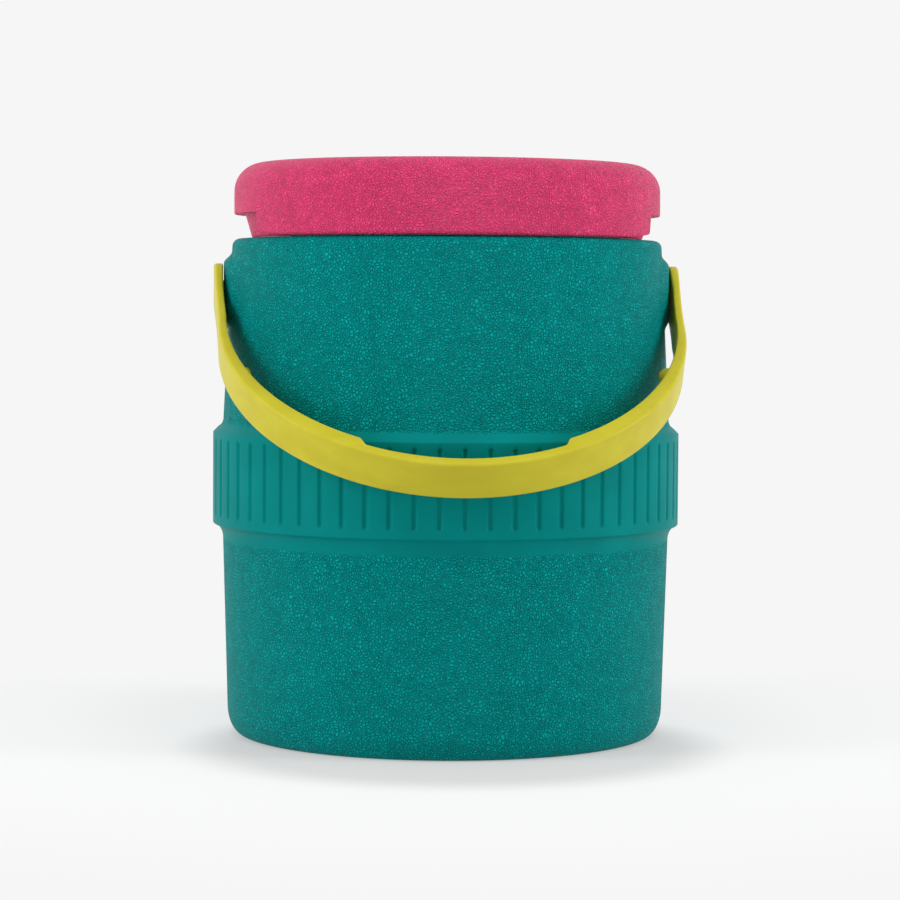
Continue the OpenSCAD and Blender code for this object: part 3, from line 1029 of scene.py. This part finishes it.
    def build(self, finish: bpy.types.Material) -> bpy.types.Object:
        """Builds and settles the bail."""
        bail = Moulding("bail_moulding")
        bail.shell(self.placed(self.strap()), capped=True)
        tip = self.nub_tip + self.nub_r
        nub = [*[(r, tip - x) for r, x in arc((0, 0), self.nub_r, self.nub_r, 90, 0, 8)],
               (self.nub_r, tip + 2.5), (self.nub_r + 0.3, tip + 4.2), (0.0, tip + 5.5)]
        nub[0] = (0.0, self.nub_tip)
        peg = [(0.0, 108.0), (self.head_r - 0.8, 108.0), (self.head_r, 108.8), (self.head_r, 113.6),
               (self.peg_r, 113.6), (self.peg_r, 122.6), (0.0, 123.0)]
        for side in (-1, 1):
            bail.shell(self.placed(turned_on_x(nub, side, 40, self.nub_l, 0.0)))
            bail.shell(self.placed(turned_on_x(peg, side, 40, 0.0, 0.0)))
        return settle(bail.piece(finish), Body.BAIL, Slot.BAIL, "bail_handle")


# ---------- studio ----------


@dataclass
class Studio:
    """A seamless paper sweep, three soft lights and the camera."""

    azimuth: float = -4.5
    distance: float = 1.6146
    height: float = 0.2327
    pitch: float = 2.870
    roll: float = 0.348
    pan: float = 0.08
    lens: float = 119.98
    sweep_back: float = 2.2
    sweep_side: float = 4.0
    world: float = 0.5
    side_power: float = 14.0
    top_power: float = 6.5

    def camera(self) -> None:
        """Places the camera and makes it the scene's."""
        az, pitch, roll, pan = (math.radians(a) for a in (self.azimuth, self.pitch, self.roll, self.pan))
        forward = Vector((-math.sin(az) * math.cos(pitch), math.cos(az) * math.cos(pitch), -math.sin(pitch)))
        right = forward.cross(Vector((0, 0, 1))).normalized()
        forward = forward * math.cos(pan) + right * math.sin(pan)
        right = forward.cross(Vector((0, 0, 1))).normalized()
        up = right.cross(forward)
        right, up = right * math.cos(roll) + up * math.sin(roll), up * math.cos(roll) - right * math.sin(roll)
        turn = Matrix((right, up, -forward)).transposed().to_4x4()
        data = bpy.data.cameras.new("camera")
        data.lens = self.lens
        data.sensor_width = 36
        data.clip_end = 50
        made = bpy.data.objects.new("camera", data)
        spot = Vector((self.distance * math.sin(az), -self.distance * math.cos(az), self.height))
        made.matrix_world = Matrix.Translation(spot) @ turn
        bpy.context.scene.collection.objects.link(made)
        bpy.context.scene.camera = made

    def softbox(self, name: str, spot: Vector, size: tuple[float, float], power: float) -> None:
        """Hangs a rectangular soft light that faces the middle of the cooler.

        Args:
            name: the light's name.
            spot: where it hangs, in metres.
            size: its width and height, in metres.
            power: its power, in watts.
        """
        data = bpy.data.lights.new(name, "AREA")
        data.shape = "RECTANGLE"
        data.size, data.size_y = size
        data.energy = power
        made = bpy.data.objects.new(name, data)
        away = spot - Vector((0, 0, 0.17))
        made.matrix_world = Matrix.Translation(spot) @ away.to_track_quat("Z", "Y").to_matrix().to_4x4()
        bpy.context.scene.collection.objects.link(made)

    def sweep(self) -> None:
        """Lays the paper: a floor that curves up into a wall behind the cooler."""
        bend = 0.8
        line = [(-6.0, 0.0), (0.0, 0.0), (self.sweep_back, 0.0)]
        line += [(self.sweep_back + bend * math.sin(a), bend * (1 - math.cos(a)))
                 for a in np.linspace(0.1, math.pi / 2, 16)]
        line += [(self.sweep_back + bend, 6.0)]
        points = [(x, y, z) for y, z in line for x in (-self.sweep_side, self.sweep_side)]
        faces = [(2 * k, 2 * k + 1, 2 * k + 3, 2 * k + 2) for k in range(len(line) - 1)]
        mesh = bpy.data.meshes.new("paper_sweep")
        mesh.from_pydata(points, [], faces)
        mesh.materials.append(StudioPaper().make())
        mesh.shade_smooth()
        made = bpy.data.objects.new("paper_sweep", mesh)
        bpy.context.scene.collection.objects.link(made)

    def build(self) -> None:
        """Sets up the world, the paper, the lights and the camera."""
        scene = bpy.context.scene
        scene.view_settings.view_transform = "Standard"
        world = bpy.data.worlds.new("studio")
        world.use_nodes = True
        back = world.node_tree.nodes["Background"]
        back.inputs["Color"].default_value = linear("#F4F6F8")
        back.inputs["Strength"].default_value = self.world
        scene.world = world
        self.camera()
        self.sweep()
        for name, side in (("left_softbox", -1), ("right_softbox", 1)):
            self.softbox(name, Vector((side * 1.52, -0.49, 0.75)), (0.5, 1.1), self.side_power)
        self.softbox("top_softbox", Vector((0.0, -0.55, 1.5)), (1.1, 0.8), self.top_power)
        LOG.info("studio ready")


def dress_foam() -> None:
    """Gives the two foam fillings, which keep their CAD shape, the look of poured foam."""
    foam = CellFoam().make()
    for name in ("body_foam", "lid_foam"):
        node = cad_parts[name]
        for slot in node.material_slots:
            slot.material = foam
        LOG.info("%s: keeps its CAD shape", name)


def main() -> None:
    """Builds every piece and the studio."""
    logging.basicConfig(level=logging.INFO, format="%(name)s %(message)s")
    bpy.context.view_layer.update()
    teal = GrainedPolyethylene("teal_grained_polyethylene", "#04A5A3", "#026C69",
                               specular=0.02, plain_from_mm=104.5, plain_to_mm=166.0).make()
    pink = GrainedPolyethylene("pink_grained_polyethylene", "#F83C7E", "#CA235A",
                               pebble_mm=1.4, depth_mm=0.72, specular=0.3).make()
    yellow = SatinPolyethylene("yellow_satin_polyethylene", "#C9BE31", "#BFB329", translucency=0.08,
                               specular=0.15).make()
    white = SatinPolyethylene("white_gloss_polyethylene", "#EFEFEA", "#E9E9E3", roughness=0.26,
                              ripple_mm=9.0, ripple_depth_mm=0.03).make()
    pivot = Pivot()
    OuterShell(pivot).build(teal)
    InnerLiner().build(white)
    FillPlug().build(teal)
    LidShell(NotchedRound()).build(pink)
    LidPan(NotchedRound(halves=((0.0, 60.0),))).build(white)
    Bail(pivot).build(yellow)
    dress_foam()
    Studio().build()


if __name__ == "__main__":
    main()
